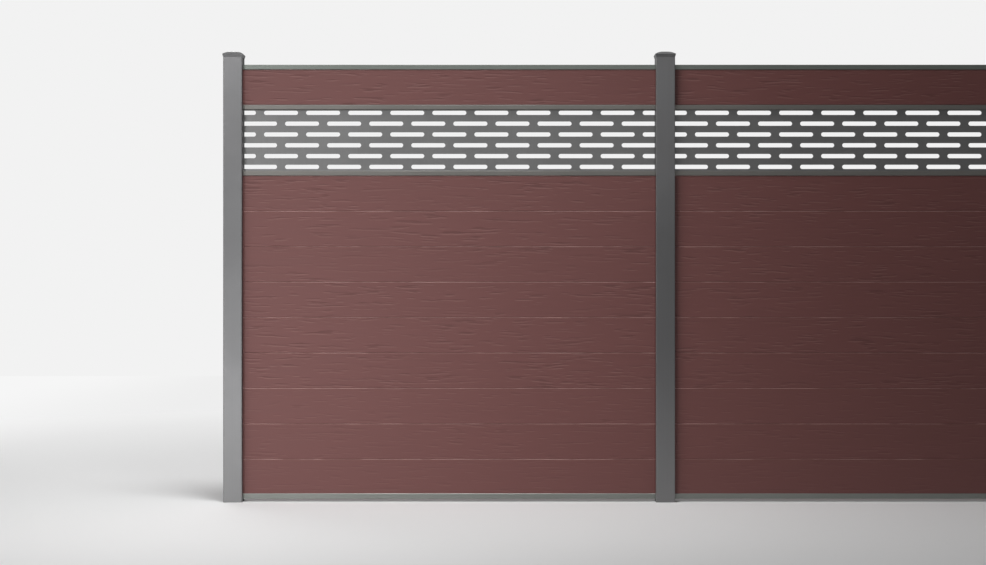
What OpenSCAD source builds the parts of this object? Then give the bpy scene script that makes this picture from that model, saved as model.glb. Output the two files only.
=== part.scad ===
// Composite privacy fence in bays: grooved aluminium posts with caps, tongue-and-groove
// composite boards on a bottom rail, and a slotted aluminium screen held between two trims
// below the top board and the top rail.
// Sizes are in millimetres. The fence runs along X, its front faces -Y, and z = 0 is ground
// level. The origin is the middle of the foot of the post nearest the middle of the fence.

/* [Fence] */
// Number of whole bays
bays = 2; // [1:1:2]
// Distance between the centres of two posts
post_pitch = 1826; // [1000:1:2400]
// Height of the bottom rail's underside above the ground
ground_gap = 12; // [6:0.5:60]
// Number of boards below the screen
low_boards = 9; // [1:1:9]

/* [Posts] */
// Width and depth of a square post
post_w = 80; // [70:1:120]
// Radius of a post's upright corners
post_corner_r = 3; // [1:0.5:8]
// Wall thickness of the post extrusion
post_wall = 2.2; // [1.5:0.1:3.5]
// Depth of the groove that takes the ends of the boards
groove_depth = 22; // [18:0.5:26]
// Length of board, rail or screen that sits in a groove at each end
groove_engage = 18.5; // [12:0.5:21]
// Length of post that stands above the top rail
post_above_rail = 29.5; // [5:0.5:200]

/* [Post caps] */
// Height of the flared lower part of a cap
cap_flare_h = 12.5; // [6:0.5:30]
// Overhang of a cap past each face of the post
cap_overhang = 3.4; // [1:0.1:10]
// Height of the straight edge between the flare and the dome
cap_edge_h = 1; // [0.5:0.5:5]
// Rise of the dome above that edge
cap_dome_h = 13.5; // [6:0.5:30]
// Wall thickness of a cap
cap_wall = 4; // [3.5:0.5:6]
// Depth of the plugs that push into the post
cap_plug_h = 16; // [8:1:40]

/* [Boards] */
// Cover height of a board, without its tongue
board_h = 150; // [100:1:200]
// Thickness of a board
board_t = 20; // [18:0.5:30]
// Height of the tongue along a board's top edge
tongue_h = 8; // [5:0.5:9]
// Thickness of the tongue
tongue_t = 7; // [5:0.5:8.5]
// Chamfer along a board's long edges, half of the V at each seam
seam_chamfer = 2; // [0.5:0.1:3]
// Thickness of a board's skins and ribs
board_shell = 3.5; // [2.5:0.1:4.5]
// Number of hollow chambers in a board
chambers = 5; // [2:1:6]

/* [Rails and trims] */
// Height of the bottom rail up to the top of its lips
bottom_rail_h = 22; // [16:0.5:40]
// Height by which the bottom rail's lips lap the lowest board
rail_lap = 4.5; // [2:0.5:10]
// Height of the top rail and of the trims above and below the screen
trim_h = 20; // [19:0.5:40]
// Wall thickness of the rails and trims
trim_wall = 1.5; // [1.2:0.1:2]
// Chamfer along the rails' and trims' edges
trim_chamfer = 1; // [0.3:0.1:1.2]
// Chamfer along the lower edges of the trim above the screen
drip_chamfer = 2.8; // [0.5:0.1:3]

/* [Screen] */
// Height of screen that shows between its two trims
screen_h = 259; // [150:1:500]
// Thickness of the screen sheet
sheet_t = 2.5; // [1.5:0.1:4]
// Depth of the slots in the trims that hold the sheet
sheet_slot_depth = 9; // [6:0.5:9]
// Number of rows of slots
slot_rows = 6; // [1:1:6]
// Height of a slot
slot_h = 18; // [8:0.5:22]
// Nominal spacing of the slots along a row
slot_spacing = 178.3; // [90:0.1:300]
// Metal left between two slots in a row
slot_web = 34; // [15:0.5:60]
// Plain strip above the highest row
top_margin = 3.6; // [2:0.1:20]
// Plain strip below the lowest row
bottom_margin = 8.4; // [2:0.1:20]
// Metal left at the ends of the sheet, hidden in the grooves
end_margin = 8; // [4:0.5:12]

/* [Clearances] */
// Gap between a rail or trim and each side of the groove
slide_gap = 0.2; // [0.1:0.05:0.8]
// Gap on each side of a tongue, a lip or the sheet
fit_gap = 0.3; // [0.1:0.05:0.6]
// Gap left past the end of a tongue and above the sheet
end_gap = 0.8; // [0.3:0.1:2]
// Gap between a cap's plugs and the walls of the post
plug_gap = 0.3; // [0.1:0.05:0.6]
// Setback of a rail block from the face of the post
block_setback = 3; // [0.5:0.5:8]

/* [Hidden] */
$fn = 64;
over = 1; // reach of a cut past the surface that it opens

// Widths across the fence
rail_w = board_t + 2 * (fit_gap + trim_wall);
groove_w = rail_w + 2 * slide_gap;
infill_len = post_pitch - post_w + 2 * groove_engage;

// Heights above the ground
boards_z = ground_gap + bottom_rail_h - rail_lap;
lower_trim_z = boards_z + low_boards * board_h;
screen_z = lower_trim_z + trim_h;
upper_trim_z = screen_z + screen_h;
top_board_z = upper_trim_z + trim_h;
top_rail_z = top_board_z + board_h;
post_h = top_rail_z + trim_h + post_above_rail;

// Screen pattern
sheet_len = infill_len;
columns = max(1, round(sheet_len / slot_spacing));
column_pitch = sheet_len / columns;
slot_len = column_pitch - slot_web;
row_pitch = slot_rows > 1 ? (screen_h - top_margin - bottom_margin - slot_h) / (slot_rows - 1) : 0;

// Cap dome: the radius of an arc that spans the cap's full width
cap_half_w = post_w / 2 + cap_overhang;
dome_r = (pow(cap_half_w, 2) + pow(cap_dome_h, 2)) / (2 * cap_dome_h);
cap_h = cap_flare_h + cap_edge_h + cap_dome_h;

// Colours
post_grey = [0.47, 0.47, 0.47];
trim_grey = [0.53, 0.53, 0.52];
board_brown = [0.43, 0.29, 0.27];
block_black = [0.12, 0.12, 0.12];

origin_post = floor(bays / 2) + 1;

// The names of the nodes of one bay, from the ground up
function bay_node_names(b) = [for (name = concat(
    ["rail_block_left", "rail_block_right", "bottom_rail"],
    [for (k = [1 : low_boards]) str("board_", k)],
    ["lower_trim", "screen", "upper_trim", "top_board", "top_rail"]
)) str("bay_", b, "_", name)];

function post_x(p) = (p - origin_post) * post_pitch;
function bay_x(b) = post_x(b) + post_pitch / 2;

// ---------- Outlines ----------

// A rectangle that stands on y = 0, with its lower and upper corners cut at 45 degrees
module chamfered_rect(w, h, low, high) {
    polygon([
        [-w / 2 + low, 0], [w / 2 - low, 0], [w / 2, low], [w / 2, h - high],
        [w / 2 - high, h], [-w / 2 + high, h], [-w / 2, h - high], [-w / 2, low]
    ]);
}

// A square with round corners, centred
module rounded_square(w, r) {
    square([w, w - 2 * r], center = true);
    square([w - 2 * r, w], center = true);
    for (sx = [-1, 1]) for (sy = [-1, 1])
        translate([sx * (w / 2 - r), sy * (w / 2 - r)]) circle(r);
}

// The tongue that stands on the top of a piece of height h
module tongue_outline(h) {
    translate([0, h - fit_gap]) chamfered_rect(tongue_t, tongue_h + fit_gap, 0, seam_chamfer / 2);
}

// The slot in the underside of a piece, which takes the tongue below it
module tongue_slot_outline() {
    w = tongue_t + 2 * fit_gap;
    translate([-w / 2, -over]) square([w, over + tongue_h + end_gap]);
}

// The slot for the screen sheet, downwards from y = 0
module sheet_slot_outline() {
    w = sheet_t + 2 * fit_gap;
    translate([-w / 2, -sheet_slot_depth]) square([w, sheet_slot_depth + over]);
}

// A board across its thickness: V edges, a tongue on top, a groove below, hollow chambers between
module board_outline() {
    floor_y = tongue_h + end_gap + board_shell;
    step = (board_h - floor_y) / chambers;
    difference() {
        union() {
            chamfered_rect(board_t, board_h, seam_chamfer, seam_chamfer);
            tongue_outline(board_h);
        }
        tongue_slot_outline();
        for (k = [0 : chambers - 1])
            translate([0, floor_y + k * step])
                chamfered_rect(board_t - 2 * board_shell, step - board_shell, 1.5, 1.5);
    }
}

// The bottom rail: a box with a tongue and two lips that lap the lowest board
module bottom_rail_outline() {
    seat = bottom_rail_h - rail_lap;
    inner_w = board_t + 2 * fit_gap;
    difference() {
        chamfered_rect(rail_w, bottom_rail_h, trim_chamfer, trim_chamfer);
        translate([-inner_w / 2, seat]) square([inner_w, rail_lap + over]);
        translate([-inner_w / 2, trim_wall]) square([inner_w, seat - 2 * trim_wall]);
    }
    tongue_outline(seat);
}

// The hollow bar that the top rail and both trims share
module trim_bar_outline(low_chamfer) {
    inner = tongue_t / 2 + fit_gap + trim_wall;
    chamber_w = rail_w / 2 - trim_wall - inner;
    difference() {
        chamfered_rect(rail_w, trim_h, low_chamfer, trim_chamfer);
        for (side = [-1, 1])
            translate([side * (inner + chamber_w / 2), trim_wall])
                chamfered_rect(chamber_w, trim_h - 2 * trim_wall,
                               max(0, low_chamfer - trim_wall / 2), 0);
    }
}

module top_rail_outline() {
    difference() {
        trim_bar_outline(trim_chamfer);
        tongue_slot_outline();
    }
}

module lower_trim_outline() {
    difference() {
        trim_bar_outline(trim_chamfer);
        tongue_slot_outline();
        translate([0, trim_h]) sheet_slot_outline();
    }
}

module upper_trim_outline() {
    difference() {
        trim_bar_outline(drip_chamfer);
        mirror([0, 1]) sheet_slot_outline();
    }
    tongue_outline(trim_h);
}

// The post across its height: a square tube with a groove in each side and a core between them
module post_outline() {
    bottom_x = post_w / 2 - groove_depth;
    web_y = groove_w / 2 + post_wall;
    inner = post_w / 2 - post_wall;
    difference() {
        rounded_square(post_w, post_corner_r);
        for (side = [-1, 1]) {
            translate([side * (bottom_x + (groove_depth + over) / 2), 0])
                square([groove_depth + over, groove_w], center = true);
            translate([0, side * (web_y + inner) / 2])
                square([2 * inner, inner - web_y], center = true);
        }
        square([2 * (bottom_x - post_wall), groove_w], center = true);
    }
}

// A cap seen from the side, drawn in from its outer form by an inset
module cap_side_outline(inset) {
    foot = post_w / 2 - inset;
    wide = cap_half_w - inset;
    low = inset > 0 ? -over : 0;
    intersection() {
        translate([0, cap_h - dome_r]) circle(dome_r - inset, $fn = 256);
        polygon([[-foot, low], [foot, low], [foot, 0], [wide, cap_flare_h], [wide, cap_h],
                 [-wide, cap_h], [-wide, cap_flare_h], [-foot, 0]]);
    }
}

// ---------- Placing ----------

// Stretches an outline along X, centred, with its y as height
module along_x(length) {
    rotate([90, 0, 90]) linear_extrude(length, center = true) children();
}

module infill(z) {
    translate([0, 0, z]) along_x(infill_len) children();
}

module at_post(p) {
    translate([post_x(p), 0, 0]) children();
}

module in_bay(b) {
    translate([bay_x(b), 0, 0]) children();
}

// ---------- Posts ----------

module post() {
    color(post_grey) linear_extrude(post_h) post_outline();
}

module cap_form(inset) {
    intersection() {
        along_x(2 * cap_half_w + over) cap_side_outline(inset);
        rotate([0, 0, 90]) along_x(2 * cap_half_w + over) cap_side_outline(inset);
    }
}

// One plug of a cap: a rectangular ring that fits the front or the back chamber of the post
module cap_plug(side) {
    near = groove_w / 2 + post_wall + plug_gap;
    far = post_w / 2 - post_wall - plug_gap;
    root = cap_wall;
    ring = cap_wall / 2;
    translate([0, side * (near + far) / 2, root - (cap_plug_h + root) / 2])
        difference() {
            cube([2 * far, far - near, cap_plug_h + root], center = true);
            cube([2 * (far - ring), far - near - 2 * ring, cap_plug_h + root + over], center = true);
        }
}

module post_cap() {
    color(post_grey) translate([0, 0, post_h]) {
        difference() {
            cap_form(0);
            cap_form(cap_wall);
        }
        for (side = [-1, 1]) cap_plug(side);
    }
}

// The channel that closes the unused groove of an end post, flush with the post's face
module end_cover(side) {
    w = groove_w - 2 * slide_gap;
    depth = groove_depth - fit_gap;
    color(post_grey) mirror([side < 0 ? 1 : 0, 0, 0])
        translate([post_w / 2 - depth, 0, 0]) linear_extrude(post_h)
            difference() {
                translate([0, -w / 2]) square([depth, w]);
                translate([-over, -w / 2 + trim_wall])
                    square([depth + over - trim_wall, w - 2 * trim_wall]);
            }
}

// ---------- Infill of a bay ----------

// The block in the groove that carries one end of the bottom rail
module rail_block(side) {
    length = groove_depth - block_setback;
    face = (post_pitch - post_w) / 2 + block_setback;
    color(block_black) translate([side * (face + length / 2), 0, ground_gap / 2])
        cube([length, groove_w - 2 * slide_gap, ground_gap], center = true);
}

module bottom_rail() {
    color(trim_grey) infill(ground_gap) bottom_rail_outline();
}

module board(z) {
    color(board_brown) infill(z) board_outline();
}

module lower_trim() {
    color(trim_grey) infill(lower_trim_z) lower_trim_outline();
}

module upper_trim() {
    color(trim_grey) infill(upper_trim_z) upper_trim_outline();
}

module top_rail() {
    color(trim_grey) infill(top_rail_z) top_rail_outline();
}

// A slot with round ends between two places along the sheet
module slot(from_x, to_x) {
    r = slot_h / 2;
    translate([from_x + r, -r]) square([to_x - from_x - slot_h, slot_h]);
    for (x = [from_x + r, to_x - r]) translate([x, 0]) circle(r);
}

// The screen sheet: rows of slots, every second row shifted by half a spacing.
// A slot that would pass the end of the sheet stops at the end margin.
module screen() {
    sheet_h = screen_h + 2 * sheet_slot_depth - end_gap;
    lowest = sheet_slot_depth + bottom_margin + slot_h / 2;
    color(post_grey) translate([0, 0, screen_z - sheet_slot_depth]) rotate([90, 0, 0])
        linear_extrude(sheet_t, center = true) translate([-sheet_len / 2, 0])
            difference() {
                square([sheet_len, sheet_h]);
                for (row = [0 : slot_rows - 1]) {
                    shifted = row % 2 == 0;
                    for (k = [0 : shifted ? columns - 1 : columns]) {
                        middle = (k + (shifted ? 0.5 : 0)) * column_pitch;
                        translate([0, lowest + row * row_pitch])
                            slot(max(middle - slot_len / 2, end_margin),
                                 min(middle + slot_len / 2, sheet_len - end_margin));
                    }
                }
            }
}

// ---------- The fence ----------

for (p = [1 : bays + 1]) {
    at_post(p) post();
    at_post(p) post_cap();
}
at_post(1) end_cover(-1);  // end_cover_left
at_post(bays + 1) end_cover(1);  // end_cover_right
for (b = [1 : bays]) {
    bay = str("bay_", b, "_");
    in_bay(b) rail_block(-1);
    in_bay(b) rail_block(1);
    in_bay(b) bottom_rail();
    for (k = [1 : low_boards])
        in_bay(b) board(boards_z + (k - 1) * board_h);
    in_bay(b) lower_trim();
    in_bay(b) screen();
    in_bay(b) upper_trim();
    in_bay(b) board(top_board_z);
    in_bay(b) top_rail();
}
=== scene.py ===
import logging
import math
import random
from abc import ABC, abstractmethod
from dataclasses import dataclass, field, replace
from enum import Enum

import bmesh
import bpy
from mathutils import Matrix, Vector


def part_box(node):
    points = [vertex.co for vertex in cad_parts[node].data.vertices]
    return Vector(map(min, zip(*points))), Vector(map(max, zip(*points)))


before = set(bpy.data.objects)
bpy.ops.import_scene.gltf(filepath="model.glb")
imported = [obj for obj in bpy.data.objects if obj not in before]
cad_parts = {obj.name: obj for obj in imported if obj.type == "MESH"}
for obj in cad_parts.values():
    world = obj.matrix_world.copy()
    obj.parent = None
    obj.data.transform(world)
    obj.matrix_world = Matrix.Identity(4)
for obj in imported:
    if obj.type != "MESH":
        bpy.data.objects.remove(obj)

LOG = logging.getLogger("fence")
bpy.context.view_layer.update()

Rgb = tuple[float, float, float]
Triple = tuple[float, float, float]
Span = tuple[float, float]
Sockets = dict[str | int, object]


def paint(red: int, green: int, blue: int) -> Rgb:
    """Turns a colour as a painter's chart gives it into the linear values that shaders use.

    Args:
        red: Red from 0 to 255.
        green: Green from 0 to 255.
        blue: Blue from 0 to 255.

    Returns:
        The same colour in linear light, from 0 to 1.
    """

    def linear(level: int) -> float:
        """One channel in linear light."""
        share = level / 255
        return share / 12.92 if share <= 0.04045 else ((share + 0.055) / 1.055) ** 2.4

    return (linear(red), linear(green), linear(blue))


def toned(colour: Rgb, factor: float) -> Rgb:
    """The colour made darker, or paler where the factor is above 1."""
    return tuple(factor * part for part in colour)


def scatter(draw: random.Random, reach: float) -> Triple:
    """A random place up to the reach along each axis."""
    return (draw.uniform(0, reach), draw.uniform(0, reach), draw.uniform(0, reach))


# --- Shader maths -----------------------------------------------------------------------------


class Signal:
    """The output of a shader node, on which arithmetic adds Math nodes."""

    def __init__(self, bench: "Bench", socket: bpy.types.NodeSocket) -> None:
        """Wraps one output socket.

        Args:
            bench: The bench whose node tree holds the socket.
            socket: The output socket.
        """
        self.bench = bench
        self.socket = socket

    def sibling(self, name: str) -> "Signal":
        """Another output of the same node."""
        return Signal(self.bench, self.bench.find(self.socket.node.outputs, name))

    def _math(self, operation: str, *values: "float | Signal") -> "Signal":
        """Adds one Math node over the values."""
        return self.bench.node("ShaderNodeMath", {"operation": operation}, dict(enumerate(values)))

    def __add__(self, other: "float | Signal") -> "Signal":
        """Sum."""
        return self._math("ADD", self, other)

    def __radd__(self, other: float) -> "Signal":
        """Sum, with the number first."""
        return self._math("ADD", other, self)

    def __sub__(self, other: "float | Signal") -> "Signal":
        """Difference."""
        return self._math("SUBTRACT", self, other)

    def __rsub__(self, other: float) -> "Signal":
        """Difference, with the number first."""
        return self._math("SUBTRACT", other, self)

    def __mul__(self, other: "float | Signal") -> "Signal":
        """Product."""
        return self._math("MULTIPLY", self, other)

    def __rmul__(self, other: float) -> "Signal":
        """Product, with the number first."""
        return self._math("MULTIPLY", other, self)

    def top(self, other: "float | Signal") -> "Signal":
        """The larger of two values."""
        return self._math("MAXIMUM", self, other)

    def swing(self, size: float) -> "Signal":
        """Noise around 0.5 turned into a swing of this size around 0."""
        return (self - 0.5) * size

    def rise(self, low: float, high: float) -> "Signal":
        """A smooth step between two values.

        Args:
            low: Where the step is 0.
            high: Where it is 1, which may be below low.

        Returns:
            The step, from 0 to 1.
        """
        return self.bench.node(
            "ShaderNodeMapRange",
            {"interpolation_type": "SMOOTHSTEP"},
            {"Value": self, "From Min": low, "From Max": high, "To Min": 0.0, "To Max": 1.0},
        )


class Bench:
    """One node tree under construction, with a single way to add any node."""

    def __init__(self, tree: bpy.types.NodeTree) -> None:
        """Empties the tree.

        Args:
            tree: The node tree of a material or of the world.
        """
        self.tree = tree
        tree.nodes.clear()

    @staticmethod
    def find(sockets: bpy.types.bpy_prop_collection, key: str | int) -> bpy.types.NodeSocket:
        """Finds a socket by number, by identifier or by name.

        Args:
            sockets: A node's inputs or outputs.
            key: The number, identifier or name.

        Returns:
            The socket.
        """
        if isinstance(key, int):
            return sockets[key]
        for socket in sockets:
            if socket.identifier == key:
                return socket
        return sockets[key]

    def node(
        self,
        kind: str,
        settings: dict[str, object] | None = None,
        inputs: Sockets | None = None,
        output: str | int = 0,
    ) -> Signal:
        """Adds a node.

        Args:
            kind: The node's type.
            settings: Its properties, which are set before its sockets.
            inputs: A constant or a signal for each socket that is used.
            output: The output that is wanted.

        Returns:
            That output as a signal, or the first input if the node has no outputs.
        """
        made = self.tree.nodes.new(kind)
        for name, setting in (settings or {}).items():
            setattr(made, name, setting)
        for key, value in (inputs or {}).items():
            socket = self.find(made.inputs, key)
            if isinstance(value, Signal):
                self.tree.links.new(value.socket, socket)
            elif socket.type == "RGBA" and len(value) == 3:
                socket.default_value = (*value, 1.0)
            else:
                socket.default_value = value
        if not made.outputs:
            return Signal(self, made.inputs[0])
        return Signal(self, self.find(made.outputs, output))

    def place(self, shift: Triple = (0.0, 0.0, 0.0)) -> Signal:
        """The place on the object in metres, moved by the shift."""
        spot = self.node("ShaderNodeTexCoord", output="Object")
        return self.node("ShaderNodeMapping", {}, {"Vector": spot, "Location": shift})

    def stretch(self, spot: Signal, scale: Triple) -> Signal:
        """A vector scaled along each axis."""
        return self.node("ShaderNodeVectorMath", {"operation": "MULTIPLY"}, {0: spot, 1: scale})

    def axis(self, vector: Signal, name: str) -> Signal:
        """One part of a vector, "X", "Y" or "Z"; the others are its siblings."""
        return self.node("ShaderNodeSeparateXYZ", {}, {"Vector": vector}, name)

    def upward(self) -> Signal:
        """How far the surface looks up: 1 on a top face, 0 on an upright one, -1 on an underside."""
        return self.axis(self.node("ShaderNodeTexCoord", output="Normal"), "Z")

    def noise(self, spot: Signal, scale: float = 1.0, detail: float = 2.0, rough: float = 0.5) -> Signal:
        """Noise around 0.5.

        Args:
            spot: The vector that it is read at.
            scale: How many features a unit of the vector holds.
            detail: How many finer layers are added.
            rough: How strong those layers are.

        Returns:
            The noise value.
        """
        sockets = {"Vector": spot, "Scale": scale, "Detail": detail, "Roughness": rough}
        return self.node("ShaderNodeTexNoise", {"noise_dimensions": "3D"}, sockets)

    def blend(self, share: Signal, first: Rgb | Signal, second: Rgb | Signal) -> Signal:
        """Mixes two colours, from the first at 0 to the second at 1."""
        sockets = {"Factor_Float": share, "A_Color": first, "B_Color": second}
        return self.node("ShaderNodeMix", {"data_type": "RGBA"}, sockets, "Result_Color")

    def bump(self, height: Signal, depth: float, strength: float = 1.0) -> Signal:
        """A surface normal that follows a height.

        Args:
            height: The height, from 0 to 1.
            depth: What a height of 1 is in metres.
            strength: How much of it shows.

        Returns:
            The normal.
        """
        return self.node("ShaderNodeBump", {}, {"Height": height, "Distance": depth, "Strength": strength})


# --- Finishes ---------------------------------------------------------------------------------


class Finish(ABC):
    """What a surface is coloured and textured with."""

    @abstractmethod
    def compose(self, bench: Bench) -> Sockets:
        """Builds the patterns of this finish.

        Args:
            bench: The empty bench that they are built on.

        Returns:
            The values of the Principled shader's sockets.
        """

    def material(self, name: str) -> bpy.types.Material:
        """Makes the material.

        Args:
            name: The material's name.

        Returns:
            The finished node material.
        """
        made = bpy.data.materials.new(name)
        made.use_nodes = True
        bench = Bench(made.node_tree)
        shader = bench.node("ShaderNodeBsdfPrincipled", {}, self.compose(bench))
        bench.node("ShaderNodeOutputMaterial", {}, {"Surface": shader})
        return made

    def dress(self, node_name: str) -> None:
        """Gives every material slot of a solid this finish.

        Args:
            node_name: The solid's name in the frame.
        """
        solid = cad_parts[node_name]
        made = self.material(f"{type(self).__name__}_{node_name}")
        solid.data.materials.clear()
        solid.data.materials.append(made)
        low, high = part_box(node_name)
        size = " x ".join(f"{1000 * length:.1f}" for length in high - low)
        LOG.info("%s: %s mm, %s", node_name, size, type(self).__name__)


class Run(Enum):
    """Which way a section was pushed through its die: the die lines to a metre along each axis."""

    ALONG = (0.6, 420.0, 420.0)
    UPRIGHT = (420.0, 420.0, 0.6)
    SHEET = (300.0, 300.0, 1.2)


@dataclass(frozen=True)
class PowderCoat(Finish):
    """Satin powder coat with a metallic body, on extruded or pressed aluminium.

    Args:
        colour: The coat's main colour.
        worn_and_lit: The paler colour of dust on faces that look up, and of the painted pale reflection at
            an upright's foot.
        run: The direction of the faint die lines under the coat.
        metal: How metallic the coat is.
        gloss_blur: The coat's roughness.
        seed: Where in the pattern this piece lies.
        reflection_painted: Whether this upright gets painted reflection: darker in its middle and paler at
            its foot.
        pattern_reach: How far apart in the pattern two pieces may lie, in metres.
        peel_scale: The dimples of the orange peel to a metre.
        grit_scale: The specks of the powder to a metre.
        cloud_scale: The clouds of tone to a metre.
        tone_range: How far the deepest and the palest tone lie from the colour, as a share of it.
        cloud_tone: How strongly the clouds show in the tone.
        line_tone: How strongly the die lines show in it.
        grit_tone: How strongly the specks show in it.
        dust_slope: How far up a face looks where dust starts to lie and where it lies fully.
        dust_patches: The clouds' values where the dust starts and where it is thickest.
        dust_cover: How much of the coat the dust hides.
        relief: The depth of the orange peel in metres.
        middle_from: The heights where the painted dim reflection in an upright's middle starts and is
            full.
        middle_to: The heights where it ends and is still full.
        middle_tone: The share of the colour's brightness that is left where that painted reflection is
            dim.
        middle_cover: How far the painted dim middle shows.
        foot_to: The heights where the painted pale reflection at the foot ends and is full.
        foot_cover: How far the painted pale foot shows.
        waver: How far these heights stray up and down, in metres.
    """

    colour: Rgb
    worn_and_lit: Rgb
    run: Run
    metal: float = 0.6
    gloss_blur: float = 0.36
    seed: int = 0
    reflection_painted: bool = False
    pattern_reach: float = 9.0
    peel_scale: float = 520.0
    grit_scale: float = 1900.0
    cloud_scale: float = 3.2
    tone_range: float = 0.14
    cloud_tone: float = 0.7
    line_tone: float = 0.45
    grit_tone: float = 0.5
    dust_slope: Span = (0.25, 0.9)
    dust_patches: Span = (0.25, 0.7)
    dust_cover: float = 0.35
    relief: float = 0.00012
    middle_from: Span = (0.35, 0.8)
    middle_to: Span = (1.5, 1.0)
    middle_tone: float = 0.72
    middle_cover: float = 0.6
    foot_to: Span = (0.55, 0.0)
    foot_cover: float = 0.18
    waver: float = 0.3

    def compose(self, bench: Bench) -> Sockets:
        """Builds orange peel, die lines, clouds of tone and dust, and on an upright a painted reflection.

        Args:
            bench: The empty bench that they are built on.

        Returns:
            The values of the Principled shader's sockets.
        """
        spot = bench.place(shift=scatter(random.Random(self.seed), self.pattern_reach))
        peel = bench.noise(spot, scale=self.peel_scale, rough=0.55)
        grit = bench.noise(spot, scale=self.grit_scale, detail=1.0)
        lines = bench.noise(bench.stretch(spot, self.run.value), rough=0.6)
        clouds = bench.noise(spot, scale=self.cloud_scale, detail=3.0, rough=0.55)
        dust = bench.upward().rise(*self.dust_slope) * clouds.rise(*self.dust_patches) * self.dust_cover
        tone = clouds.swing(self.cloud_tone) + lines.swing(self.line_tone) + grit.swing(self.grit_tone)
        deep = toned(self.colour, 1 - self.tone_range)
        pale = toned(self.colour, 1 + self.tone_range)
        body = bench.blend(tone + 0.5, deep, pale)
        # Painted reflection on an upright: a darker middle and a paler foot.
        if self.reflection_painted:
            body = self._paint_reflection(bench, body, clouds)
        return {
            "Base Color": bench.blend(dust, body, self.worn_and_lit),
            "Metallic": self.metal,
            "Roughness": peel.swing(0.10) + clouds.swing(0.12) + dust * 0.3 + self.gloss_blur,
            "Normal": bench.bump(peel * 0.8 + lines * 0.2, self.relief),
        }

    def _paint_reflection(self, bench: Bench, body: Signal, clouds: Signal) -> Signal:
        """Paints reflection on an upright: darker between knee and head height, paler below the knee.

        Args:
            bench: The bench that the patterns are built on.
            body: The colour so far.
            clouds: Slow noise that makes the edges of both uneven.

        Returns:
            The colour with the painted reflection.
        """
        height = bench.axis(bench.place(), "Z") + clouds.swing(self.waver)
        # Painted dim reflection in the middle, painted pale reflection at the foot.
        middle = height.rise(*self.middle_from) * height.rise(*self.middle_to) * self.middle_cover
        foot = height.rise(*self.foot_to) * self.foot_cover
        darker_middle = bench.blend(middle, body, toned(self.colour, self.middle_tone))
        return bench.blend(foot, darker_middle, self.worn_and_lit)


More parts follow.
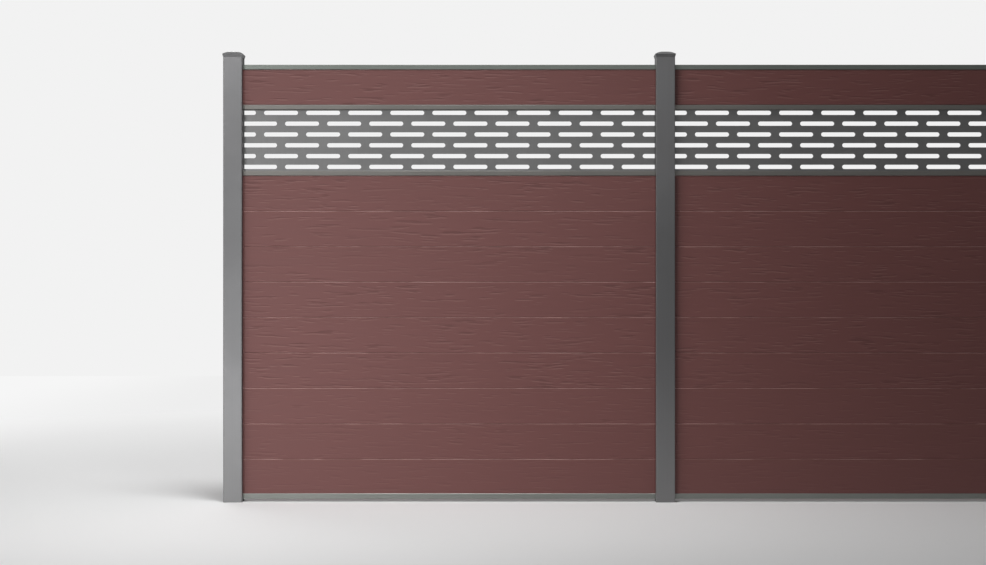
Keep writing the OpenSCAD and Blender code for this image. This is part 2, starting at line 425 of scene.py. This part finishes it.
@dataclass(frozen=True)
class GrainedComposite(Finish):
    """Wood-fibre composite with a fine embossed grain that runs along the board, with painted shade in its
    strokes, painted highlights beside them and painted light on its edges.

    Args:
        body: The main colour.
        shade: The darker colour of the grain's streaks, and of the painted shade in its strokes' hollows.
        lit_colour: The colour of the painted highlight beside each stroke, and of the painted light on
            undersides.
        worn_and_lit: The colour of edges that look up: their wear, and a painted highlight.
        relief: How strongly the grain stands out, from 0 to 1.
        seed: Where in the pattern this board was cut, counted from the first seed.
        first_seed: The seed that boards are counted from.
        pattern_reach: How far apart in the pattern two boards may be cut, in metres.
        batch_range: How far two boards' tones may lie from the middle one.
        tilt: How far the grain rises along a metre of board, in metres.
        wander: How far the grain strays up and down, in metres.
        wander_scale: The bends of that straying to a metre along each axis.
        stroke_scale: The embossed strokes to a metre along each axis.
        stroke_edge: The noise values where a stroke starts and where it is deepest.
        highlight_offset: How far above a painted highlight the stroke that it borders is read, in metres.
        highlight_edge: The noise values where a painted highlight starts and where it is palest.
        highlight_gap: The noise values where a painted highlight starts to give way to a stroke and has
            gone.
        streak_scale: The long streaks of tone to a metre along each axis.
        fuzz_scale: The fibres of the surface to a metre along each axis.
        cloud_scale: The busy and calm stretches to a metre along each axis.
        calm_edge: The clouds' values where a calm stretch ends and a busy one is full.
        calm_share: How much of the embossing a calm stretch keeps.
        tone_shade: How far the swings of tone turn the colour to the shade.
        cut_shade: How far a stroke turns it to the shade colour, as painted shade in its hollow.
        highlight_share: How far a painted highlight turns it to the lit colour.
        patch_scale: The rubbed and painted-lighter patches of an edge to a metre along each axis.
        edge_slope: How far up a face looks where an edge starts to be rubbed and painted lighter, and
            where that is full.
        edge_patches: The patches' values where the rubbing and painted highlight grow and where they are
            strongest.
        edge_least: How far the whole edge is rubbed and painted lighter.
        edge_gain: How much further its patches are.
        under_slope: How far down a face looks where painted light on an underside starts and is strongest.
        underside_light: How far an underside turns to the lit colour, as painted light.
        gloss_blur: The board's roughness.
        depth: The depth of the embossing in metres.
        depth_shown: How much of that depth the light picks out.
    """

    body: Rgb
    shade: Rgb
    lit_colour: Rgb
    worn_and_lit: Rgb
    relief: float = 1.0
    seed: int = 0
    first_seed: int = 1000
    pattern_reach: float = 40.0
    batch_range: float = 0.06
    tilt: float = 0.012
    wander: float = 0.030
    wander_scale: Triple = (2.4, 2.4, 9.0)
    stroke_scale: Triple = (10.0, 10.0, 135.0)
    stroke_edge: Span = (0.57, 0.70)
    highlight_offset: float = 0.0042
    highlight_edge: Span = (0.57, 0.68)
    highlight_gap: Span = (0.55, 0.62)
    streak_scale: Triple = (4.5, 4.5, 120.0)
    fuzz_scale: Triple = (160.0, 160.0, 900.0)
    cloud_scale: Triple = (1.6, 1.6, 7.0)
    calm_edge: Span = (0.32, 0.60)
    calm_share: float = 0.4
    tone_shade: float = 0.30
    cut_shade: float = 0.32
    highlight_share: float = 0.46
    patch_scale: Triple = (6.0, 6.0, 6.0)
    edge_slope: Span = (0.3, 0.65)
    edge_patches: Span = (0.40, 0.62)
    edge_least: float = 0.16
    edge_gain: float = 0.62
    under_slope: Span = (-0.3, -0.65)
    underside_light: float = 0.35
    gloss_blur: float = 0.50
    depth: float = 0.0012
    depth_shown: float = 0.6

    def compose(self, bench: Bench) -> Sockets:
        """Builds short strokes with painted shade and painted highlights, long streaks and clouds of tone,
        and wears the edges with painted light.

        Args:
            bench: The empty bench that they are built on.

        Returns:
            The values of the Principled shader's sockets.
        """
        draw = random.Random(self.first_seed + self.seed)
        spot = bench.place(shift=scatter(draw, self.pattern_reach))
        batch = draw.uniform(-self.batch_range, self.batch_range)
        fibre = self._fibre(bench, spot)
        # The painted highlight beside each stroke is read a little above it.
        highlight_shift = {0: fibre, 1: (0.0, 0.0, self.highlight_offset)}
        highlight_spot = bench.node("ShaderNodeVectorMath", {"operation": "ADD"}, highlight_shift)
        strokes = bench.noise(bench.stretch(fibre, self.stroke_scale), detail=1.6)
        highlight_noise = bench.noise(bench.stretch(highlight_spot, self.stroke_scale), detail=1.6)
        streaks = bench.noise(bench.stretch(fibre, self.streak_scale), rough=0.55)
        fuzz = bench.noise(bench.stretch(fibre, self.fuzz_scale), detail=1.0)
        clouds = bench.noise(bench.stretch(spot, self.cloud_scale))
        busy = clouds.rise(*self.calm_edge) * (1 - self.calm_share) + self.calm_share
        cut = strokes.rise(*self.stroke_edge) * busy * self.relief
        # Painted highlight: a pale line just below each stroke.
        clear = 1 - strokes.rise(*self.highlight_gap)
        highlight = highlight_noise.rise(*self.highlight_edge) * clear * busy * self.relief
        tone = streaks.swing(0.9) * self.relief + fuzz.swing(0.25) + clouds.swing(0.3)
        # The strokes' part of this darkening is painted shade in their hollows; the rest is the grain's
        # own tone.
        darker = (0.5 - tone - batch) * self.tone_shade + cut * self.cut_shade
        coat = bench.blend(darker, self.body, self.shade)
        coat = bench.blend(highlight * self.highlight_share, coat, self.lit_colour)
        height = (1 - cut) * 0.7 + streaks * 0.2 + fuzz * 0.1
        return {
            "Base Color": self._wear_and_light(bench, spot, coat),
            "Roughness": fuzz.swing(0.12) + streaks.swing(0.12) + cut * 0.10 + self.gloss_blur,
            "Normal": bench.bump(height, self.depth, self.depth_shown),
        }

    def _fibre(self, bench: Bench, spot: Signal) -> Signal:
        """Bends the pattern's place so that the grain rises a little and wanders.

        Args:
            bench: The bench that the patterns are built on.
            spot: The place on the board.

        Returns:
            The place along and across the grain.
        """
        along = bench.axis(spot, "X")
        drift = bench.noise(bench.stretch(spot, self.wander_scale))
        across = along.sibling("Z") + along * self.tilt + drift.swing(self.wander)
        parts = {"X": along, "Y": along.sibling("Y"), "Z": across}
        return bench.node("ShaderNodeCombineXYZ", {}, parts)

    def _wear_and_light(self, bench: Bench, spot: Signal, coat: Signal) -> Signal:
        """Rubs the edges that look up and paints a highlight on them, and paints light on the undersides.

        Args:
            bench: The bench that the patterns are built on.
            spot: The place on the board.
            coat: The colour so far.

        Returns:
            The colour with wear and painted light.
        """
        lift = bench.upward()
        patches = bench.noise(bench.stretch(spot, self.patch_scale), detail=3.0, rough=0.65)
        patchy = patches.rise(*self.edge_patches) * self.edge_gain + self.edge_least
        # Painted light on the undersides, which lie in shade.
        coat = bench.blend(lift.rise(*self.under_slope) * self.underside_light, coat, self.lit_colour)
        # Rubbed edges that look up, with a painted highlight.
        return bench.blend(lift.rise(*self.edge_slope) * patchy, coat, self.worn_and_lit)


@dataclass(frozen=True)
class MouldedPlastic(Finish):
    """Moulded plastic with a fine spark-eroded texture.

    Args:
        colour: The plastic's colour.
        scuff: The colour where it is rubbed.
        seed: Where in the pattern the plastic lies.
        pattern_reach: How far into the pattern that may be, in metres.
        pebble_scale: The pebbles of the texture to a metre.
        scuff_scale: The scuffs to a metre along each axis.
        scuff_edge: The noise values where a scuff starts and where it is palest.
        gloss_blur: The plastic's roughness.
        relief: The depth of the texture in metres.
    """

    colour: Rgb
    scuff: Rgb
    seed: int = 7000
    pattern_reach: float = 9.0
    pebble_scale: float = 1400.0
    scuff_scale: Triple = (30.0, 200.0, 60.0)
    scuff_edge: Span = (0.55, 0.75)
    gloss_blur: float = 0.55
    relief: float = 0.0001

    def compose(self, bench: Bench) -> Sockets:
        """Builds the pebbled texture and a few scuffs.

        Args:
            bench: The empty bench that they are built on.

        Returns:
            The values of the Principled shader's sockets.
        """
        spot = bench.place(shift=scatter(random.Random(self.seed), self.pattern_reach))
        pebbles = bench.noise(spot, scale=self.pebble_scale)
        scuffs = bench.noise(bench.stretch(spot, self.scuff_scale), detail=3.0)
        rubbed = scuffs.rise(*self.scuff_edge)
        return {
            "Base Color": bench.blend(rubbed * 0.5, self.colour, self.scuff),
            "Roughness": pebbles.swing(0.2) + rubbed * 0.1 + self.gloss_blur,
            "Normal": bench.bump(pebbles, self.relief),
        }


# --- The fence --------------------------------------------------------------------------------


# Grey of dust on faces that look up, and of the painted pale reflection at the posts' foot.
GREY_DUST_AND_LIGHT = paint(168, 168, 168)
POST_COAT = PowderCoat(
    colour=paint(115, 115, 116),
    worn_and_lit=GREY_DUST_AND_LIGHT,
    run=Run.UPRIGHT,
    metal=0.7,
    gloss_blur=0.33,
    reflection_painted=True,
)
RAIL_COAT = PowderCoat(colour=paint(116, 121, 116), worn_and_lit=GREY_DUST_AND_LIGHT, run=Run.ALONG)
# The bottom rail's coat is a paler copy of the rail coat: painted light at the foot of the fence.
FOOT_RAIL_COAT = PowderCoat(colour=paint(128, 131, 127), worn_and_lit=GREY_DUST_AND_LIGHT, run=Run.ALONG)
TRIM_COAT = PowderCoat(colour=paint(117, 115, 111), worn_and_lit=GREY_DUST_AND_LIGHT, run=Run.ALONG)
SCREEN_COAT = PowderCoat(colour=paint(117, 117, 117), worn_and_lit=GREY_DUST_AND_LIGHT, run=Run.SHEET)
BOARD = GrainedComposite(
    body=paint(114, 69, 66),
    shade=paint(79, 43, 41),
    lit_colour=paint(141, 100, 96),
    worn_and_lit=paint(196, 158, 153),
)
BLACK_PLASTIC = MouldedPlastic(colour=paint(26, 26, 27), scuff=paint(70, 70, 70))


class Side(Enum):
    """An end of the fence or of a bay."""

    LEFT = "left"
    RIGHT = "right"


@dataclass
class Post:
    """One upright with its cap.

    Args:
        number: The post's number, from the left.
        seeds: How many pattern seeds are set aside for each post.
    """

    number: int
    seeds: int = 10

    def dress(self) -> None:
        """Coats the post, and its cap without the painted reflection."""
        seed = self.seeds * self.number
        replace(POST_COAT, seed=seed).dress(f"post_{self.number}")
        replace(POST_COAT, seed=seed + 1, reflection_painted=False).dress(f"post_cap_{self.number}")


@dataclass
class EndCover:
    """The channel that closes the unused groove of an end post.

    Args:
        side: The end that it is on.
        seed: Where in the pattern it lies.
    """

    side: Side
    seed: int

    def dress(self) -> None:
        """Coats the channel as the posts are."""
        replace(POST_COAT, seed=self.seed).dress(f"end_cover_{self.side.value}")


@dataclass
class Bay:
    """What fills the space between two posts: boards, rails, trims and the screen.

    Args:
        number: The bay's number, from the left.
        boards: How many boards stand below the screen.
        low_reliefs: How strongly the grain stands out on the lowest boards, from the ground up.
        board_seeds: How many pattern seeds are set aside for the boards of each bay.
        metal_seeds: How many are set aside for its metal.
    """

    number: int
    boards: int = 9
    low_reliefs: tuple[float, ...] = (0.35, 0.6, 0.6)
    board_seeds: int = 20
    metal_seeds: int = 100

    def dress_boards(self) -> None:
        """Gives each board its own cut of the grain, fainter on the lowest ones."""
        rows = [f"board_{row}" for row in range(1, self.boards + 1)] + ["top_board"]
        for order, row in enumerate(rows):
            relief = self.low_reliefs[order] if order < len(self.low_reliefs) else BOARD.relief
            cut = replace(BOARD, relief=relief, seed=self.board_seeds * self.number + order)
            cut.dress(f"bay_{self.number}_{row}")

    def dress_metal(self) -> None:
        """Coats the rails, the trims and the screen."""
        coats = {
            "bottom_rail": FOOT_RAIL_COAT,
            "top_rail": RAIL_COAT,
            "lower_trim": TRIM_COAT,
            "upper_trim": TRIM_COAT,
            "screen": SCREEN_COAT,
        }
        for order, (part, coat) in enumerate(coats.items()):
            coat = replace(coat, seed=self.metal_seeds * self.number + order)
            coat.dress(f"bay_{self.number}_{part}")

    def dress_blocks(self) -> None:
        """Gives the hidden rail blocks their plastic."""
        for side in Side:
            BLACK_PLASTIC.dress(f"bay_{self.number}_rail_block_{side.value}")

    def dress(self) -> None:
        """Dresses the whole bay."""
        self.dress_boards()
        self.dress_metal()
        self.dress_blocks()


# --- The studio -------------------------------------------------------------------------------


PALE = paint(242, 242, 242)


@dataclass
class StudioFloor:
    """A plain pale floor that fades into the backdrop far behind the fence and all round it.

    Distances are from the foot of the middle post, with Y growing away behind the fence.

    Args:
        reach: How far it goes to each side and to the front, in metres.
        far_edge: How far behind the fence it ends.
        sunk: How far below the post feet it lies.
        fade_behind: Where behind the fence it starts to fade and where it has faded.
        fade_round: The same for the distance on all sides, where it is looked at.
        gloss_near: Where in front of the fence its glow in gloss starts and is full.
        gloss_far: Where further in front that glow ends and is full.
        gloss_sides: From where to the right that glow is dimmest and to the left brightest.
        gloss_dim: That glow at its dimmest.
        gloss_rise: How much stronger it is at its brightest.
        far_sides: Where along X its faded colour turns from the left one to the right one.
        far_left: Its faded colour to the left of the fence.
        far_right: Its faded colour behind the fence, dimmer than the left one as painted shade of the
            fence.
        colour: Its colour.
        mottled: The share of that colour's brightness that its darkest clouds have.
    """

    reach: float = 34.0
    far_edge: float = 10.45
    sunk: float = 0.0005
    fade_behind: Span = (0.4, 6.5)
    fade_round: Span = (3.2, 6.2)
    gloss_near: Span = (-0.8, -3.0)
    gloss_far: Span = (-10.0, -4.5)
    gloss_sides: Span = (1.5, -2.0)
    gloss_dim: float = 0.1
    gloss_rise: float = 0.7
    far_sides: Span = (-4.9, -3.0)
    far_left: Rgb = paint(246, 246, 246)
    far_right: Rgb = paint(238, 238, 238)
    colour: Rgb = paint(236, 236, 236)
    mottled: float = 0.985

    def build(self) -> None:
        """Builds the floor as one wide face."""
        mesh = bpy.data.meshes.new("studio_floor")
        sheet = bmesh.new()
        front, back = -self.reach, self.far_edge
        outline = ((-self.reach, front), (self.reach, front), (self.reach, back), (-self.reach, back))
        sheet.faces.new([sheet.verts.new((along, depth, -self.sunk)) for along, depth in outline])
        sheet.to_mesh(mesh)
        sheet.free()
        floor = bpy.data.objects.new("studio_floor", mesh)
        bpy.context.scene.collection.objects.link(floor)
        mesh.materials.append(self._material())
        LOG.info("studio_floor: %.0f m to each side", self.reach)

    def _material(self) -> bpy.types.Material:
        """Makes the matt floor that glows in the backdrop's colour where it has faded.

        Returns:
            The finished node material.
        """
        made = bpy.data.materials.new("studio_floor")
        made.use_nodes = True
        made.cycles.emission_sampling = "NONE"
        bench = Bench(made.node_tree)
        spot = bench.place()
        mottle = bench.noise(spot, scale=0.7, detail=3.0)
        tint = bench.blend(mottle, toned(self.colour, self.mottled), self.colour)
        matt = bench.node("ShaderNodeBsdfDiffuse", {}, {"Color": tint})
        side = bench.axis(spot, "X")
        # Where it has faded it glows dimmer behind the fence, as painted shade of the fence.
        far = bench.blend(side.rise(*self.far_sides), self.far_left, self.far_right)
        glow = bench.node("ShaderNodeEmission", {}, {"Color": far, "Strength": 1.0})
        fade = self._fade(bench, spot, side)
        shader = bench.node("ShaderNodeMixShader", {}, {0: fade, 1: matt, 2: glow})
        bench.node("ShaderNodeOutputMaterial", {}, {"Surface": shader})
        return made

    def _fade(self, bench: Bench, spot: Signal, side: Signal) -> Signal:
        """Works out how far the floor has faded, for each kind of ray.

        Args:
            bench: The bench of the floor's material.
            spot: The place on the floor.
            side: Its part along the fence.

        Returns:
            How much of the glow shows, from 0 to 1.
        """
        depth = side.sibling("Y")
        gloss = bench.node("ShaderNodeLightPath", output="Is Glossy Ray")
        sight = gloss.sibling("Is Camera Ray").top(gloss.sibling("Is Transmission Ray"))
        strength = side.rise(*self.gloss_sides) * self.gloss_rise + self.gloss_dim
        front = depth.rise(*self.gloss_near) * depth.rise(*self.gloss_far) * strength * gloss
        away = bench.node("ShaderNodeVectorMath", {"operation": "LENGTH"}, {0: spot}, "Value")
        around = away.rise(*self.fade_round) * sight
        behind = depth.rise(*self.fade_behind) * sight.top(gloss)
        return behind.top(around).top(front)


@dataclass
class StudioRoom:
    """The room around the floor: pale where it is looked at, dimmer in gloss.

    Args:
        ambient: How much light comes from all round.
        left_high: How bright the room's upper front left is in gloss.
        left_low: How bright its lower front left is in gloss.
        right_low: How bright its lower front right is in gloss; the upper right is dark.
        back: How bright the backdrop is in gloss.
        back_turn: The heading's part along Y where the front ends and where the backdrop is full.
        left_turn: Its part along X where the right side ends and where the left one is full.
        high_turn: Its upright part where the lower room ends and where the upper one is full.
    """

    ambient: float = 0.06
    left_high: float = 0.95
    left_low: float = 0.6
    right_low: float = 0.7
    back: float = 0.4
    back_turn: Span = (-0.15, 0.25)
    left_turn: Span = (0.15, -0.15)
    high_turn: Span = (0.03, 0.25)

    def build(self) -> None:
        """Sets up the world, of which each kind of ray sees its own part."""
        world = bpy.data.worlds.new("studio_room")
        world.use_nodes = True
        world.cycles.sampling_method = "NONE"
        bpy.context.scene.world = world
        bench = Bench(world.node_tree)
        along = bench.axis(bench.node("ShaderNodeTexCoord", output="Generated"), "X")
        behind = along.sibling("Y").rise(*self.back_turn)
        left = along.rise(*self.left_turn)
        high = along.sibling("Z").rise(*self.high_turn)
        low_part = left * (self.left_low - self.right_low) + self.right_low
        front = high * left * self.left_high + (1 - high) * low_part
        sight = bench.node("ShaderNodeLightPath", output="Is Camera Ray")
        gloss = sight.sibling("Is Glossy Ray") * (behind * self.back + (1 - behind) * front)
        seen = sight.top(sight.sibling("Is Transmission Ray")).top(gloss)
        light = sight.sibling("Is Diffuse Ray") * self.ambient
        shader = bench.node("ShaderNodeBackground", {}, {"Color": PALE, "Strength": seen + light})
        bench.node("ShaderNodeOutputWorld", {}, {"Surface": shader})
        LOG.info("studio_room: ambient %.2f", self.ambient)


@dataclass
class Softbox:
    """A square or oblong lamp with a soft face.

    Args:
        name: What it is for.
        stand: Where its middle is, from the foot of the middle post.
        aim: The point that it faces.
        width: Its width in metres.
        height: Its height in metres.
        power: Its power in watts.
        spread: How wide its light opens, in degrees.
    """

    name: str
    stand: Triple
    aim: Triple
    width: float
    height: float
    power: float
    spread: float = 180.0

    def build(self) -> None:
        """Hangs the lamp."""
        lamp = bpy.data.lights.new(self.name, "AREA")
        lamp.shape = "RECTANGLE"
        lamp.size = self.width
        lamp.size_y = self.height
        lamp.energy = self.power
        lamp.spread = math.radians(self.spread)
        hung = bpy.data.objects.new(self.name, lamp)
        hung.location = self.stand
        heading = Vector(self.aim) - Vector(self.stand)
        hung.rotation_euler = heading.to_track_quat("-Z", "Y").to_euler()
        hung.visible_camera = False
        bpy.context.scene.collection.objects.link(hung)
        LOG.info("%s: %.1f W", self.name, self.power)


@dataclass
class FenceCamera:
    """A level camera square to the fence, opposite its first bay.

    Args:
        distance: How far it stands in front of the posts' faces.
        eye_height: Its height above the ground.
        past_bay: How far right of the first bay's middle it stands.
        lens: Its focal length in millimetres.
        sensor: The width of its sensor in millimetres.
    """

    distance: float = 7.757
    eye_height: float = 0.927
    past_bay: float = 0.185
    lens: float = 67.18
    sensor: float = 36.0

    def build(self) -> None:
        """Places the camera by the first bay's box."""
        low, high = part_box("bay_1_bottom_rail")
        post_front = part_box("post_1")[0].y
        data = bpy.data.cameras.new("camera")
        data.sensor_width = self.sensor
        data.lens = self.lens
        camera = bpy.data.objects.new("camera", data)
        middle = (low.x + high.x) / 2
        camera.location = (middle + self.past_bay, post_front - self.distance, self.eye_height)
        camera.rotation_euler = (math.pi / 2, 0.0, 0.0)
        bpy.context.scene.collection.objects.link(camera)
        bpy.context.scene.camera = camera


@dataclass
class Studio:
    """The fence's surroundings.

    Args:
        floor: The floor.
        room: The room around it.
        camera: The camera.
        lamps: The lamps, none of which the camera sees.
    """

    floor: StudioFloor = field(default_factory=StudioFloor)
    room: StudioRoom = field(default_factory=StudioRoom)
    camera: FenceCamera = field(default_factory=FenceCamera)
    # Each lamp's name, stand, aim, width, height and power, and the spread of a narrow one.
    lamps: tuple[Softbox, ...] = (
        Softbox("overhead", (-1.1, -1.0, 4.9), (-1.3, -0.5, 0.0), 1.2, 1.2, 119.0),
        Softbox("overhead_right", (-0.8, -1.1, 4.9), (0.8, -1.0, 0.0), 1.2, 1.2, 3.0, 75.0),
        Softbox("key_left", (-3.5, -5.5, 3.5), (-1.8, 0.0, 0.6), 1.5, 1.5, 9.2, 50.0),
        Softbox("key_side", (-5.0, -3.2, 1.2), (-1.8, 0.0, 0.5), 1.4, 1.4, 2.8, 60.0),
        Softbox("key_low", (-2.5, -4.5, 0.5), (-1.8, 0.0, 0.2), 1.5, 0.8, 2.4, 60.0),
        Softbox("fill_middle", (0.2, -4.0, 3.0), (-2.0, 0.0, 0.4), 1.2, 1.2, 4.4, 60.0),
        Softbox("rear_left", (-4.5, 5.0, 4.0), (-1.5, 1.0, 0.3), 3.0, 3.0, 100.0),
        Softbox("rear_far", (-3.0, 9.0, 5.0), (-3.0, 6.0, 0.0), 4.0, 3.0, 188.0),
        Softbox("rear_middle", (-4.2, 2.6, 4.0), (-4.2, 2.0, 0.0), 2.5, 2.5, 8.0, 90.0),
    )

    def build(self) -> None:
        """Sets up the whole studio."""
        self.camera.build()
        self.floor.build()
        self.room.build()
        for lamp in self.lamps:
            lamp.build()


def main() -> None:
    """Builds the studio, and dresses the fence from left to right."""
    logging.basicConfig(level=logging.INFO, format="%(message)s")
    bpy.context.scene.view_settings.view_transform = "Standard"
    Studio().build()
    for number in (1, 2, 3):
        Post(number).dress()
    for cover in (EndCover(Side.LEFT, seed=4), EndCover(Side.RIGHT, seed=5)):
        cover.dress()
    for number in (1, 2):
        Bay(number).dress()


if __name__ == "__main__":
    main()
